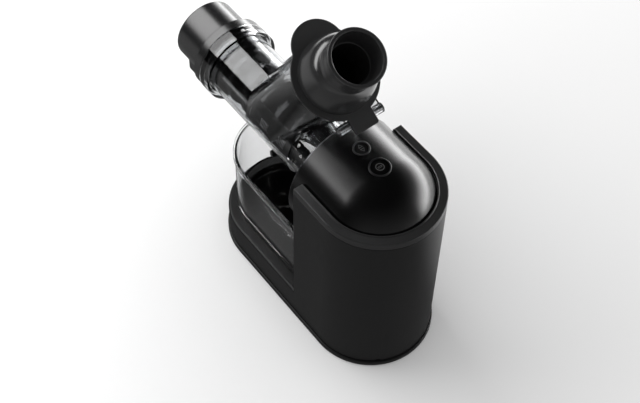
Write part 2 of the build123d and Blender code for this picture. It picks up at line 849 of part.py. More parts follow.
def gearbox_screw_places():
    """Cover screws, as side and height."""
    pillar = gearbox_pillar_radius + gearbox_pillar_gap
    top_reach = output_wheel_radius + output_module + pillar
    low_reach = first_wheel_radius + motor_module + pillar
    places = [(0, motor_height - motor_pinion_housing + gearbox_pillar_radius)]
    for reach, height, degrees in ((top_reach, drum_height, 30), (low_reach, idler_height, -20)):
        x = reach * math.cos(math.radians(degrees))
        z = height + reach * math.sin(math.radians(degrees))
        places += [(-x, z), (x, z)]
    return places


def gearbox_case():
    """Rear half of the gearbox; its back wall also carries the motor."""
    start = gearbox_front + gearbox_wall
    case = extrude(axial_plane(start) * gearbox_with_ears(), amount=gearbox_back - start)
    case -= extrude(axial_plane(start - through) * gearbox_outline(gearbox_wall),
                    amount=gearbox_back - gearbox_wall - start + through)
    for x, z in gearbox_screw_places():
        case += rod(gearbox_pillar_radius, start, gearbox_back - gearbox_wall, x, z)
    for x, z in gearbox_screw_places():
        case -= rod(screw_radius, start - through, start + screw_length, x, z)
    tail_seat = output_tail_radius + bearing_wall
    inner_back = gearbox_back - gearbox_wall
    case += rod(tail_seat + bearing_seat_wall, inner_back - bearing_width, gearbox_back)
    case -= rod(tail_seat, inner_back - bearing_width - through, inner_back)
    seat_front = inner_back - layshaft_seat
    case += rod(layshaft_radius + layshaft_boss_wall, seat_front, gearbox_back, 0, idler_height)
    case -= rod(layshaft_radius, seat_front - through, layshaft_rear, 0, idler_height)
    return case - motor_rod(motor_bush_radius, gearbox_back - 2 * gearbox_wall, gearbox_back + through)


def gearbox_screws():
    """Screws through the gearbox cover."""
    screws = []
    for x, z in gearbox_screw_places():
        head_front = gearbox_front - screw_head_height
        screw = rod(screw_head_radius, head_front, gearbox_front, x, z)
        screw += rod(screw_radius, head_front, gearbox_front + gearbox_wall + gearbox_screw_grip, x, z)
        screws.append(screw)
    return screws


def output_bearings():
    """Two plain bearings of the output shaft."""
    front = tube(output_shaft_radius + bearing_wall, output_shaft_radius + running_fit,
                 gearbox_front, gearbox_front + bearing_width)
    rear = tube(output_tail_radius + bearing_wall, output_tail_radius + running_fit,
                gearbox_back - gearbox_wall - bearing_width, gearbox_back - gearbox_wall)
    return [front, rear]


def shaft_seal():
    """Lip seal between the drive socket and the output shaft."""
    return tube(output_shaft_radius + seal_wall, output_shaft_radius + seal_fit, seal_front, socket_back)


def layshaft():
    """Fixed steel pin that carries the intermediate gear."""
    return rod(layshaft_radius, gearbox_front + gearbox_wall, layshaft_rear, 0, idler_height)


def output_gear():
    """Output wheel on its shaft; the nose holds the hexagonal drive hole."""
    wheel_rear = output_wheel_front + output_wheel_width
    wheel = gear(output_module, output_wheel_teeth, output_wheel_front, output_wheel_width, drum_height,
                 output_thinning, 90)
    shaft = rod(output_shaft_radius, output_nose, wheel_rear)
    shaft += rod(output_tail_radius, wheel_rear - through, gearbox_back - gearbox_wall - output_end_gap)
    solid = wheel + shaft
    return solid - hexagon_bar(drive_hex + 2 * slip_fit, output_nose - through, output_nose + drive_hex_reach)


def idler_gear():
    """Compound gear: small pinion that drives the output wheel, large wheel driven by the motor."""
    front = output_wheel_front - pinion_side_step
    pinion = gear(output_module, idler_pinion_teeth, front, first_wheel_front - front + pinion_side_step,
                  idler_height, output_thinning, -90 + 180 / idler_pinion_teeth)
    wheel = gear(motor_module, first_wheel_teeth, first_wheel_front, first_wheel_width, idler_height,
                 motor_thinning, 90)
    solid = pinion + wheel
    return solid - rod(layshaft_radius + running_fit, gearbox_front, gearbox_back, 0, idler_height)


def motor_pinion():
    """Steel pinion on the motor shaft."""
    width = first_wheel_width + 2 * pinion_side_step
    pinion = gear(motor_module, motor_pinion_teeth, first_wheel_front - pinion_side_step, width,
                  motor_height, motor_thinning, -90 + 180 / motor_pinion_teeth)
    return pinion - rod(motor_shaft_radius, 0, gearbox_back, 0, motor_height)


def motor_rod(radius, front, rear, reach=0.0, angle=0.0):
    """Solid cylinder beside the motor axis, at an angle from +X."""
    turn = math.radians(angle)
    return rod(radius, front, rear, reach * math.cos(turn), motor_height + reach * math.sin(turn))


def motor_tube(outer, inner, front, rear):
    """Hollow cylinder on the motor axis."""
    return tube(outer, inner, front, rear, 0, motor_height)


def motor_can():
    """Pressed steel can of the motor with its front face."""
    can = motor_tube(motor_radius, motor_radius - motor_wall, motor_front, motor_back)
    face = motor_tube(motor_radius - motor_wall / 2, motor_bush_radius, motor_front, motor_front + motor_face)
    return can + face


def motor_end_cap():
    """Rear cover of the motor with the rear bearing seat and cooling holes."""
    cap = motor_tube(motor_radius, motor_bush_radius, motor_back, motor_back + motor_end_wall)
    for index in range(motor_vent_count):
        cap -= motor_rod(motor_vent_radius, motor_back - through, motor_back + motor_end_wall + through,
                         motor_vent_reach, 360 / motor_vent_count * index)
    return cap


def motor_stator():
    """Laminated field ring inside the can."""
    ring = motor_tube(motor_radius - motor_wall, rotor_radius + stator_gap, stack_front, stack_rear)
    step = 360 / winding_slot_count
    slots = [motor_rod(winding_slot_radius, motor_front, motor_back, rotor_radius + winding_slot_reach,
                       step * (index + 0.5)) for index in range(winding_slot_count)]
    return ring - slots


def motor_rotor():
    """Armature, commutator and shaft."""
    core = motor_rod(rotor_radius, stack_front, stack_rear)
    step = 360 / rotor_slot_count
    reach = rotor_radius - rotor_slot_depth
    slots = [motor_rod(rotor_slot_radius, motor_front, motor_back, reach, step * index)
             for index in range(rotor_slot_count)]
    core -= slots
    core += motor_rod(commutator_radius, stack_rear, stack_rear + commutator_length)
    return core + motor_rod(motor_shaft_radius, first_wheel_front - through, fan_front + fan_hub_length)


def motor_bearings():
    """Front and rear bush of the motor shaft."""
    bore = motor_shaft_radius + running_fit
    front = motor_tube(motor_bush_radius, bore, gearbox_back - gearbox_wall, motor_front + motor_face)
    rear = motor_tube(motor_bush_radius, bore, motor_back, motor_back + motor_end_wall)
    return [front, rear]


def motor_brushes():
    """Two carbon brushes beside the commutator."""
    inner = commutator_radius + brush_gap
    outer = motor_radius - motor_wall - brush_holder_gap
    rear = motor_back - brush_rear_space
    half = brush_width / 2
    return [block(min(side * inner, side * outer), max(side * inner, side * outer), rear - brush_length, rear,
                  motor_height - half, motor_height + half) for side in (-1, 1)]


def cooling_fan():
    """Fan on the rear end of the motor shaft."""
    fan = motor_rod(fan_hub_radius, fan_front, fan_front + fan_hub_length)
    fan += motor_tube(fan_radius, fan_radius - fan_rim_width, fan_front, fan_front + fan_rim_height)
    fan += motor_rod(fan_radius, fan_front, fan_front + fan_disc)
    half = fan_blade_thickness / 2
    for index in range(fan_blades):
        blade = block(fan_hub_radius - fan_blade_sink, fan_radius - fan_blade_inset,
                      fan_front, fan_front + fan_blade_height, -half, half)
        fan += Pos(0, 0, motor_height) * Rot(0, 360 * index / fan_blades, 0) * blade
    return fan - motor_rod(motor_shaft_radius, fan_front - through, fan_front + fan_hub_length + through)


def motor_cradle():
    """Saddle that carries the motor on the base plate."""
    flange_top = shell_bottom + cradle_thickness
    flange = block(-cradle_half_width, cradle_half_width, motor_front + cradle_margin,
                   motor_back - cradle_margin, shell_bottom, flange_top)
    slot = cradle_web_half_width - cradle_web_thickness / 2
    for y in vent_rows:
        flange -= block(-slot, slot, y, y + vent_width, shell_bottom - through, flange_top + through)
    seat_top = motor_height - cradle_seat_drop
    for front in (motor_front + cradle_web_inset, motor_back - cradle_web_inset - cradle_web_thickness):
        flange += block(-cradle_web_half_width, cradle_web_half_width, front, front + cradle_web_thickness,
                        shell_bottom, seat_top)
    half = cradle_spine_thickness / 2
    flange += block(-half, half, motor_front + cradle_web_inset, motor_back - cradle_web_inset, shell_bottom,
                    motor_height - motor_radius - cradle_spine_gap)
    return flange - motor_rod(motor_radius, motor_front, motor_back)


# ---------------------------------------------------------------- drum and what it holds
def hopper_section(half_width, front, rear, front_corner, rear_corner, depth):
    """Rounded outline at a depth below the lid; local +Y is towards the rear."""
    corners = [(-half_width, -front), (half_width, -front), (half_width, rear), (-half_width, rear)]
    outline = make_face(Polyline(*corners, close=True))
    ends = outline.vertices().group_by(Axis.Y)
    outline = fillet(ends[0], front_corner)
    ends = [v for v in outline.vertices() if v.Y > rear - 0.01]
    outline = fillet(ends, rear_corner)
    return lid_plane.offset(-depth) * outline


def hopper_solid(inset, top_depth):
    """Hopper body: round at the lid, D-shaped at its foot, carried down into the drum."""
    mouth = hopper_mouth_radius - inset
    corner = mouth - hopper_corner_step
    top = hopper_section(mouth, mouth, mouth, corner, corner, top_depth)
    foot_sizes = (
        hopper_foot_half_width - inset, hopper_foot_front - inset, hopper_foot_rear - inset,
        hopper_foot_front_corner - inset, hopper_foot_rear_corner - inset,
    )
    foot = hopper_section(*foot_sizes, hopper_foot_depth)
    body = loft([top.face(), foot.face()], ruled=True)
    lower = extrude(hopper_section(*foot_sizes, hopper_foot_depth).face(), amount=-hopper_foot_reach)
    keep = block(-2 * base_radius, 2 * base_radius, collar_front, column_front, drum_height, 2 * ledge_height)
    return body + (lower & keep)


rim_top_depth = lid_thickness + lid_gasket_thickness


def drum_body():
    """Clear moulding: drum, collar, neck, hopper, spout and the ears of the lid hinge."""
    outside = rod(tube_radius, collar_front, tube_rear) + rod(neck_radius, tube_rear, drum_rear)
    outside += rod(collar_radius, collar_front, collar_rear - collar_hollow_depth)
    outside += tube(collar_radius, collar_hollow_radius, collar_front + through, collar_rear)
    outside += rod(drum_flange_radius, drum_flange_front, drum_flange_front + drum_flange_thickness)
    outside += hopper_solid(0.0, rim_top_depth + hopper_rim_height)
    outside += extrude(lid_plane.offset(-rim_top_depth - hopper_rim_height) * Circle(hopper_rim_radius),
                       amount=hopper_rim_height)
    for side in (-1, 1):
        edge = side * (tube_radius - through)
        low, high = sorted((edge, side * (neck_radius + rail_stand)))
        outside += block(low, high, tube_rear - rail_lead, drum_flange_front + through,
                         drum_height - rail_height / 2, drum_height + rail_height / 2)
        arm, far = sorted((side * lug_inner, side * lug_outer))
        ear = extrude(hinge_plane(arm) * Circle(lug_radius), amount=far - arm)
        web = lid_plane.location * block(arm, far, hopper_rim_radius - lug_web_reach, hinge_reach,
                                         -hinge_drop - lug_radius, -hinge_drop + lug_web_top)
        outside += ear + web
    outside += post(spout_radius, spout_bottom, drum_height - chamber_bore, 0, spout_station)

    cavity = rod(tube_bore, collar_front - through, chamber_front)
    cavity += rod(chamber_bore, chamber_front - through, drum_wall_front)
    inner_hopper = hopper_solid(hopper_wall, rim_top_depth + hopper_rim_height)
    mouth_plane = lid_plane.offset(-rim_top_depth - hopper_rim_height - face_gap)
    mouth = extrude(mouth_plane * Circle(hopper_mouth_bore), amount=hopper_rim_height + face_gap + through)
    cavity += inner_hopper + mouth
    body = outside - cavity
    body -= block(-trough_half_width, trough_half_width, spout_station - trough_lead, trough_rear,
                  drum_height - chamber_bore - trough_depth, drum_height - chamber_bore / 2)
    spout_top = drum_height - chamber_bore
    body -= post(spout_radius - spout_wall, spout_bottom + spout_floor, spout_top, 0, spout_station)
    body -= post(spout_hole_radius, spout_bottom - through, spout_top, 0, spout_station + spout_hole_offset)
    body -= rod(auger_tail_radius + drum_seal_wall, drum_wall_front - through, drum_rear + through)
    body -= extrude(hinge_plane(-2 * lug_outer) * Circle(hinge_pin_radius), amount=4 * lug_outer)
    ribs = Part()
    rib_front = collar_front + cap_skirt_reach + rib_lead
    for angle in rib_angles:
        rib = block(tube_bore - rib_height, tube_bore + through / 2, rib_front, chamber_front,
                    -rib_width / 2, rib_width / 2)
        ribs += Pos(0, 0, drum_height) * Rot(0, -angle, 0) * rib
    return body + ribs


def drum_seal():
    """Rubber ring in the rear wall of the drum, round the tail of the auger."""
    return tube(auger_tail_radius + drum_seal_wall, auger_tail_radius + seal_fit, drum_wall_front, drum_rear)


def strainer():
    """Thin slotted sleeve round the auger, open on top where the food drops in."""
    sleeve = tube(strainer_radius, strainer_bore, strainer_front, strainer_rear)
    sleeve -= block(-strainer_window_half_width, strainer_window_half_width,
                    strainer_front + strainer_front_band, strainer_rear - strainer_rear_band,
                    drum_height, drum_height + 2 * chamber_bore)
    slots = []
    half = strainer_slot_width / 2
    for column in range(strainer_slot_columns):
        y = strainer_front + strainer_slot_lead + strainer_slot_pitch * column
        for angle in strainer_slot_angles:
            slot = block(strainer_bore - through, strainer_radius + through, y, y + strainer_slot_length,
                         -half, half)
            slots.append(Pos(0, 0, drum_height) * Rot(0, -angle, 0) * slot)
    return sleeve - slots


def auger():
    """Compression screw: helical flight on a tapering core, with journal and hexagonal tail."""
    length = auger_rear - auger_front
    half = math.radians(auger_flight_arc / 2)
    core = auger_core_rear - auger_foot_sink
    spread = auger_foot_spread * half
    tip = [auger_radius * math.cos(half), auger_radius * math.sin(half)]
    foot = [core * math.cos(spread), core * math.sin(spread)]
    outline = make_face([
        ThreePointArc((tip[0], -tip[1]), (auger_radius, 0), (tip[0], tip[1])),
        Line((tip[0], tip[1]), (foot[0], foot[1])),
        ThreePointArc((foot[0], foot[1]), (-core, 0), (foot[0], -foot[1])),
        Line((foot[0], -foot[1]), (tip[0], -tip[1])),
    ])
    flight = Solid.extrude_linear_with_rotation(
        outline.face(), (0, 0, 0), (0, 0, length), 360 * length / auger_pitch)
    flight = axial_plane(auger_front).location * flight
    nose_front = auger_front - auger_nose
    disc_radius = auger_radius - auger_disc_step
    disc_front = auger_rear + through
    disc_rear = drum_wall_front - auger_disc_gap
    core_outline = make_face(Polyline(
        (0, auger_journal_front), (auger_journal_radius, auger_journal_front),
        (auger_journal_radius, nose_front), (auger_journal_radius + auger_shoulder, nose_front),
        (auger_core_front, auger_front - through), (auger_core_rear, disc_front),
        (disc_radius, disc_front), (disc_radius, disc_rear),
        (auger_tail_radius, disc_rear), (auger_tail_radius, drum_rear), (0, drum_rear), close=True))
    spindle = Pos(0, 0, drum_height) * revolve(core_outline, Axis.Y)
    screw = Part() + flight + spindle
    hex_end = output_nose + drive_hex_reach - drive_hex_end_gap
    return screw + hexagon_bar(drive_hex, drum_rear - through, hex_end)


def drip_stop():
    """Rotary cup under the spout; turning it shuts the off-centre hole."""
    inner = spout_radius + slip_fit
    bottom = spout_bottom - drip_stop_floor - face_gap
    cup = post(drip_stop_radius, bottom, bottom + drip_stop_height, 0, spout_station)
    cup = fillet(cup.edges().group_by(Axis.Z)[0], drip_stop_edge)
    cup -= post(inner, spout_bottom - face_gap, bottom + drip_stop_height + through, 0, spout_station)
    cup -= post(spout_hole_radius, bottom - through, spout_bottom, 0, spout_station + spout_hole_offset)
    half = drip_grip_half_width
    grip = block(inner + drip_grip_margin, drip_stop_radius + drip_grip_reach,
                 spout_station - half, spout_station + half,
                 bottom + drip_grip_margin, bottom + drip_stop_height - drip_grip_margin)
    return cup + grip


# ---------------------------------------------------------------- end cap
def end_cap():
    """Black cap that closes the front of the drum, with the pulp outlet underneath."""
    cap = rod(cap_radius, cap_front, cap_flange_front + through)
    cap = fillet(cap.edges().group_by(Axis.Y)[0], cap_edge_radius)
    cap += rod(cap_flange_radius, cap_flange_front, cap_flange_rear)
    skirt_rear = collar_front + cap_skirt_reach
    cap += rod(cap_skirt_radius, cap_flange_rear - through, skirt_rear)
    cap += block(-pulp_half_width, pulp_half_width, pulp_front, pulp_rear, pulp_bottom, drum_height)
    cap -= rod(cap_bore, cap_front + cap_wall, cap_flange_rear)
    cap -= rod(cap_skirt_radius - cap_skirt_wall, cap_flange_rear - through, skirt_rear + through)
    inner_half_width = pulp_half_width - pulp_wall
    cap -= block(-inner_half_width, inner_half_width, pulp_front + pulp_wall, pulp_rear - pulp_wall,
                 pulp_bottom - through, drum_height - cap_bore / 2)
    cap_floor = cap_front + cap_wall
    cap += rod(bush_radius + bush_seat_wall, cap_floor - through, cap_floor + bush_length)
    return cap - rod(bush_radius, cap_floor, cap_floor + bush_length + through)


def auger_bush():
    """Plain bush in the cap that carries the front journal of the auger."""
    front = cap_front + cap_wall
    return tube(bush_radius, auger_journal_radius + running_fit, front, front + bush_length)


def cap_gasket():
    """Sealing ring between cap and drum."""
    return tube(cap_gasket_radius, cap_skirt_radius + slip_fit, cap_flange_rear, collar_front)


# ---------------------------------------------------------------- lid and chute
def hopper_lid():
    """Flat lid plate with a round front lobe, a rear tab, a locating skirt and the hinge knuckle."""
    outline = Circle(lid_radius) + Pos(0, -lobe_offset) * Circle(lobe_radius)
    outline += Pos(0, tab_reach / 2) * Rectangle(2 * tab_half_width, tab_reach)
    blank = extrude(Plane.XY.offset(-lid_thickness) * outline, amount=lid_thickness)
    blank = fillet(blank.edges().filter_by(Axis.Z).group_by(Axis.Y)[0], lobe_blend)
    blank = fillet(blank.edges().filter_by(Axis.Z).group_by(Axis.Y)[-1], tab_corner)
    plate = lid_plane.location * blank
    skirt_depth = lid_thickness + lid_skirt_depth
    skirt = extrude(lid_plane.offset(-skirt_depth) * Circle(lid_skirt_radius), amount=lid_skirt_depth)
    skirt -= extrude(lid_plane.offset(-skirt_depth - through) * Circle(lid_skirt_radius - lid_skirt_wall),
                     amount=lid_skirt_depth + through)
    plate += skirt
    half = lug_inner - face_gap
    plate += extrude(hinge_plane(-half) * Circle(knuckle_radius), amount=2 * half)
    plate += lid_plane.location * block(-half, half, hinge_reach - knuckle_radius,
                                        hinge_reach + knuckle_radius, -hinge_drop, -lid_thickness)
    plate -= extrude(hinge_plane(-half) * Circle(hinge_pin_radius + running_fit), amount=2 * half)
    hole = chute_bore + chute_wall
    return plate - extrude(lid_plane.offset(-2 * lid_thickness) * Circle(hole), amount=3 * lid_thickness)


def feed_chute():
    """Bell with a flared mouth and the straight feed tube inside it."""
    tube_wall = chute_bore + chute_wall
    inner_bell = bell_radius - bell_wall
    web = bell_crease_height - bell_web_drop
    crease = (bell_crease_radius, bell_crease_height)
    lip_radius = chute_mouth_radius - chute_lip_step
    lip_foot = chute_height - chute_lip
    lip_start = (lip_radius, lip_foot - chute_lip_slope)
    chamfer_radius = chute_mouth_bore + chute_mouth_chamfer
    mouth_top = (chute_mouth_bore, chute_height - chute_mouth_lead)
    lip_top = chute_height - chute_lip_step
    lip_arc = (chute_mouth_radius - chute_lip_step * 0.3, chute_height - chute_lip_step * 0.3)
    outline = [
        Line((tube_wall, -lid_thickness), (tube_wall, web)),
        Line((tube_wall, web), (inner_bell, 0)),
        Line((inner_bell, 0), (bell_radius, 0)),
        Line((bell_radius, 0), (bell_radius, bell_edge)),
        Spline((bell_radius, bell_edge), (bell_shoulder_radius, bell_shoulder_height), crease,
               tangents=((-0.08, 1), (-1, 0.7))),
        Spline(crease, (chute_waist_radius, chute_waist_height), lip_start, tangents=((-0.5, 1), (0.5, 1))),
        Line(lip_start, (chute_mouth_radius, lip_foot)),
        Line((chute_mouth_radius, lip_foot), (chute_mouth_radius, lip_top)),
        ThreePointArc((chute_mouth_radius, lip_top), lip_arc, (lip_radius, chute_height)),
        Line((lip_radius, chute_height), (chamfer_radius, chute_height)),
        Line((chamfer_radius, chute_height), mouth_top),
        Line(mouth_top, (chute_step_bore, chute_step_height)),
        Line((chute_step_bore, chute_step_height), (chute_bore, chute_step_height)),
        Line((chute_bore, chute_step_height), (chute_bore, -lid_thickness)),
        Line((chute_bore, -lid_thickness), (tube_wall, -lid_thickness)),
    ]
    profile = Plane.XZ * make_face(outline)
    return lid_plane.location * revolve(profile, Axis.Z)


def lid_gasket():
    """Rubber ring under the lid plate that meets the rim of the hopper."""
    inner = hopper_mouth_radius - hopper_wall + lid_gasket_setback
    ring = Circle(hopper_rim_radius - lid_gasket_edge) - Circle(inner)
    thickness = lid_gasket_thickness - lid_gasket_squeeze
    return extrude(lid_plane.offset(-lid_thickness - thickness) * ring, amount=thickness)


def splash_guard():
    """Soft black disc under the chute, with a star of slits that food is pushed through."""
    disc = Circle(splash_guard_radius)
    slit_outer = chute_bore - splash_guard_slit_margin
    length = slit_outer - splash_guard_slit_inner
    for index in range(splash_guard_slits):
        slit = Pos(splash_guard_slit_inner + length / 2, 0) * Rectangle(length, splash_guard_slit_width)
        disc -= Rot(0, 0, 360 / splash_guard_slits * index) * slit
    plane = lid_plane.offset(-lid_thickness - splash_guard_thickness)
    return extrude(plane * disc, amount=splash_guard_thickness)


def hinge_pin():
    """Steel pin through both ears and the lid knuckle."""
    return extrude(hinge_plane(-lug_outer) * Circle(hinge_pin_radius), amount=2 * lug_outer)


# ---------------------------------------------------------------- container
def container_outline(radius, rear):
    """Rounded front, straight sides and square rear."""
    front_centre = -container_end_spacing
    round_part = Pos(0, front_centre) * Circle(radius)
    length = rear - front_centre
    straight = Pos(0, front_centre + length / 2) * Rectangle(2 * radius, length)
    return round_part + straight


def juice_container():
    """Clear juice container with a thick rim and a stepped foot."""
    side = container_rim_radius - container_lip
    foot = side - container_step_inset
    rim_inset = container_rim_radius - side
    rear = container_rear - rim_inset
    bottom = plinth_height
    body = extrude(Plane.XY.offset(bottom) * container_outline(foot, rear - container_step_inset),
                   amount=container_step_height)
    body += extrude(Plane.XY.offset(bottom + container_step_height) * container_outline(side, rear),
                    amount=container_height - bottom - container_step_height)
    body += extrude(Plane.XY.offset(container_height - container_rim_thickness)
                    * container_outline(container_rim_radius, container_rear), amount=container_rim_thickness)
    body = fillet(body.edges().group_by(Axis.Z)[-1], container_rim_edge)
    inner_foot = foot - container_wall
    inner_side = side - container_wall
    body -= extrude(Plane.XY.offset(bottom + container_floor)
                    * container_outline(inner_foot, rear - container_step_inset - container_wall),
                    amount=container_step_height)
    body -= extrude(Plane.XY.offset(bottom + container_step_height + container_wall)
                    * container_outline(inner_side, rear - container_wall), amount=container_height)
    return body


# ---------------------------------------------------------------- output
NODES = {
    "base_plate": base_plate,
    "rubber_feet": rubber_feet,
    "base_screws": base_screws,
    "body_shell": body_shell,
    "top_trim": top_trim,
    "trim_seam": seam_band,
    "dome_cover": dome_cover,
    "front_ring": front_ring,
    "drive_socket": drive_socket,
    "cord_inlet": cord_inlet,
    "power_bezel": lambda: bezel(power_station, power_bezel_radius),
    "reverse_bezel": lambda: bezel(reverse_station, reverse_bezel_radius),
    "power_button": lambda: button(power_station, power_bezel_radius),
    "reverse_button": lambda: button(reverse_station, reverse_bezel_radius),
    "control_board": control_board,
    "tact_switches": tact_switches,
    "board_parts": board_parts,
    "gearbox_cover": gearbox_cover,
    "gearbox_case": gearbox_case,
    "gearbox_screws": gearbox_screws,
    "output_bearings": output_bearings,
    "shaft_seal": shaft_seal,
    "layshaft": layshaft,
    "output_gear": output_gear,
    "idler_gear": idler_gear,
    "motor_pinion": motor_pinion,
    "motor_can": motor_can,
    "motor_end_cap": motor_end_cap,
    "motor_stator": motor_stator,
    "motor_rotor": motor_rotor,
    "motor_bearings": motor_bearings,
    "motor_brushes": motor_brushes,
    "cooling_fan": cooling_fan,
    "motor_cradle": motor_cradle,
    "drum_body": drum_body,
    "drum_seal": drum_seal,
    "strainer": strainer,
    "auger": auger,
    "drip_stop": drip_stop,
    "end_cap": end_cap,
    "auger_bush": auger_bush,
    "cap_gasket": cap_gasket,
    "hopper_lid": hopper_lid,
    "feed_chute": feed_chute,
    "lid_gasket": lid_gasket,
    "splash_guard": splash_guard,
    "hinge_pin": hinge_pin,
    "juice_container": juice_container,
}


def write_parts():
    """Build every node, move it to the shared origin and write its file."""
    os.makedirs("parts", exist_ok=True)
    for name, builder in NODES.items():
        made = builder()
        pieces = made if isinstance(made, list) else [made]
        solids = [Pos(0, frame_shift, 0) * one(piece) for piece in pieces]
        shape = solids[0] if len(solids) == 1 else Compound(children=solids)
        shape.label = name
        export_step(shape, f"parts/{name}.step")


write_parts()
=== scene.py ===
import math

import bmesh
import bpy
from mathutils import Matrix, Vector


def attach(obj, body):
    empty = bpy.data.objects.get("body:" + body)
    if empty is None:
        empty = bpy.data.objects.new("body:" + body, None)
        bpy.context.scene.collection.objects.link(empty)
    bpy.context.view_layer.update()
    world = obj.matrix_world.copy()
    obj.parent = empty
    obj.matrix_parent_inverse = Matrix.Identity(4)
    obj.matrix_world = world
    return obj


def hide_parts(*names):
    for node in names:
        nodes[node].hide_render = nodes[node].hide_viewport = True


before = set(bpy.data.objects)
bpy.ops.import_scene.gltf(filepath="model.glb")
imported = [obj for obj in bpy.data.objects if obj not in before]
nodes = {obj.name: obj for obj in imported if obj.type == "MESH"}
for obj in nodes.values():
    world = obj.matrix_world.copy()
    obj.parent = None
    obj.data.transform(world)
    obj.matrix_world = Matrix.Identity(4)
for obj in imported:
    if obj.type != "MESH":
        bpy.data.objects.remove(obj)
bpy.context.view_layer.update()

scene = bpy.context.scene
scene.view_settings.view_transform = "Standard"
MM = 0.001
SHIFT = 42.5            # from the middle of the base to the middle of the whole machine, mm
DRUM_AXIS = 204.0       # height of the drum's axis, mm
PRINT = 0.06            # thickness of the printed marks, mm


# ---------------------------------------------------------------- camera
def make_camera():
    """Camera at the photograph's viewpoint: a 36 mm sensor, no shift, no depth of field."""
    pitch, yaw, roll = math.radians(54.112), math.radians(-38.354), math.radians(-1.255)
    focal_px, image_width = 1311.98, 640.0
    sensor_width = 36.0
    place = Vector((533.1, 656.4 + SHIFT, 1296.5)) * MM
    heading = Vector((math.sin(yaw), -math.cos(yaw), 0))
    side = heading.cross(Vector((0, 0, 1)))
    ahead = math.cos(pitch) * heading - math.sin(pitch) * Vector((0, 0, 1))
    down = -(math.sin(pitch) * heading + math.cos(pitch) * Vector((0, 0, 1)))
    right = math.cos(roll) * side + math.sin(roll) * down
    below = -math.sin(roll) * side + math.cos(roll) * down
    data = bpy.data.cameras.new("camera")
    data.sensor_width = sensor_width
    data.lens = focal_px / image_width * sensor_width
    data.clip_end = 20
    camera = bpy.data.objects.new("camera", data)
    axes = (right, -below, -ahead)
    turn = Matrix([[axis[i] for axis in axes] for i in range(3)]).to_4x4()
    camera.matrix_world = Matrix.Translation(place) @ turn
    scene.collection.objects.link(camera)
    scene.camera = camera


# ---------------------------------------------------------------- material helpers
class Graph:
    """A short way to add and join nodes in a material or the world."""

    def __init__(self, owner, keep=False):
        owner.use_nodes = True
        self.tree = owner.node_tree
        if not keep:
            self.tree.nodes.clear()

    def find(self, kind):
        return next(node for node in self.tree.nodes if node.bl_idname == kind)

    def add(self, kind, **values):
        node = self.tree.nodes.new(kind)
        for key, value in values.items():
            setattr(node, key, value)
        return node

    def join(self, out, into):
        self.tree.links.new(out, into)

    def math(self, operation, first, second=0.0):
        """Maths node on numbers or outputs; gives its output."""
        node = self.add("ShaderNodeMath", operation=operation)
        for socket, value in zip(node.inputs, (first, second)):
            if isinstance(value, (int, float)):
                socket.default_value = value
            else:
                self.join(value, socket)
        return node.outputs[0]

    def ramp(self, source, low, high, value_low, value_high):
        """Straight ramp from value_low at low to value_high at high, level beyond both."""
        node = self.add("ShaderNodeMapRange")
        ends = {"From Min": low, "From Max": high, "To Min": value_low, "To Max": value_high}
        for key, value in ends.items():
            node.inputs[key].default_value = value
        self.join(source, node.inputs["Value"])
        return node.outputs["Result"]

    def noise(self, scale, detail, rough=0.55, stretch=None):
        place = self.add("ShaderNodeTexCoord").outputs["Object"]
        if stretch:
            mapping = self.add("ShaderNodeMapping")
            mapping.inputs["Scale"].default_value = stretch
            self.join(place, mapping.inputs["Vector"])
            place = mapping.outputs["Vector"]
        node = self.add("ShaderNodeTexNoise")
        node.inputs["Scale"].default_value = scale
        node.inputs["Detail"].default_value = detail
        node.inputs["Roughness"].default_value = rough
        self.join(place, node.inputs["Vector"])
        return node.outputs["Fac"]

    def mix(self, factor, color_a, color_b):
        """Colour between two colours."""
        node = self.add("ShaderNodeMix", data_type="RGBA")
        self.join(factor, node.inputs["Factor"])
        node.inputs["A"].default_value = (*color_a, 1)
        node.inputs["B"].default_value = (*color_b, 1)
        return node.outputs["Result"]

    def bump(self, height, strength, distance, shader):
        """Bump from a height on the shader's normal; gives the bump node."""
        node = self.add("ShaderNodeBump")
        node.inputs["Strength"].default_value = strength
        node.inputs["Distance"].default_value = distance
        self.join(height, node.inputs["Height"])
        self.join(node.outputs[0], shader.inputs["Normal"])
        return node


def principled(name):
    """New material with one Principled shader."""
    material = bpy.data.materials.new(name)
    g = Graph(material)
    shader = g.add("ShaderNodeBsdfPrincipled")
    out = g.add("ShaderNodeOutputMaterial")
    g.join(shader.outputs[0], out.inputs["Surface"])
    return material, g, shader


def plastic(name, color, rough, rough_spread, grain=0.0, grain_scale=2500.0, specular=0.5,
            marks=0.0, edge=0.0):
    """Moulded plastic: slow roughness changes, smears, a fine grain, slight colour drift, rounded edges."""
    drift = 0.12
    material, g, shader = principled(name)
    shader.inputs["Specular IOR Level"].default_value = specular
    slow = g.noise(14.0, 3.0)
    smear = g.noise(55.0, 5.0, 0.65, (1.0, 1.0, 0.35))
    darker, paler = ([c * share for c in color] for share in (1 - drift, 1 + drift))
    g.join(g.mix(g.ramp(slow, 0.3, 0.7, 0.0, 1.0), darker, paler), shader.inputs["Base Color"])
    g.join(g.math("ADD", g.ramp(slow, 0.3, 0.7, rough - rough_spread, rough + rough_spread),
                  g.ramp(smear, 0.55, 0.8, 0.0, marks)), shader.inputs["Roughness"])
    bump = g.bump(g.noise(grain_scale, 2.0), grain, 0.0001, shader)
    if edge:
        rounding = g.add("ShaderNodeBevel", samples=6)
        rounding.inputs["Radius"].default_value = edge * MM
        g.join(rounding.outputs[0], bump.inputs["Normal"])
    return material


